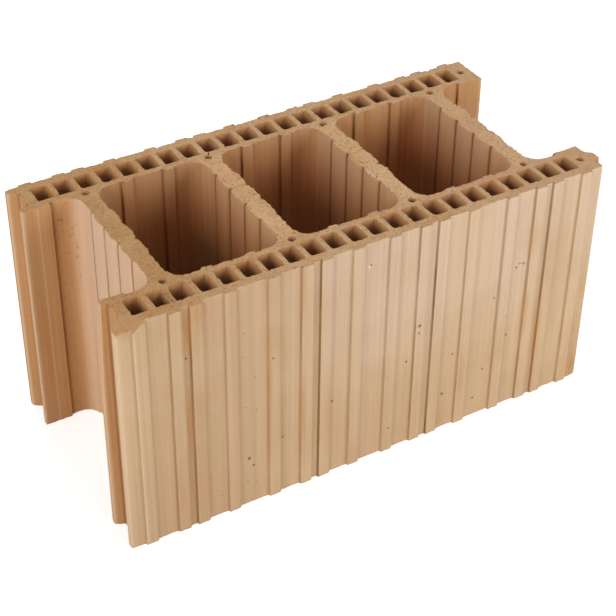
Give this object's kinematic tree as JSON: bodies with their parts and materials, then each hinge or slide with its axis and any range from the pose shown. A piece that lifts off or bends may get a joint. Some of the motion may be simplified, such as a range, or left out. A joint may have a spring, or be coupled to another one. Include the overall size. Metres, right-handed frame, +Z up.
{
  "type": "clay brick",
  "caption": "Hollow fired clay block with large filling cells, rows of square holes in its shells, ribbed long faces and tongue and groove ends, laid dry and filled with concrete.",
  "frame": {"origin": "middle of the bed face's box, on the floor, tongues counted", "axes": "+X along the length towards the tongue end, +Y across to the back long face, +Z up"},
  "size_m": [0.5066, 0.24, 0.249],
  "materials": {
    "clay": "matt unglazed fired clay"
  },
  "bodies": {
    "root": {"brick": "clay"}
  },
  "joints": []
}
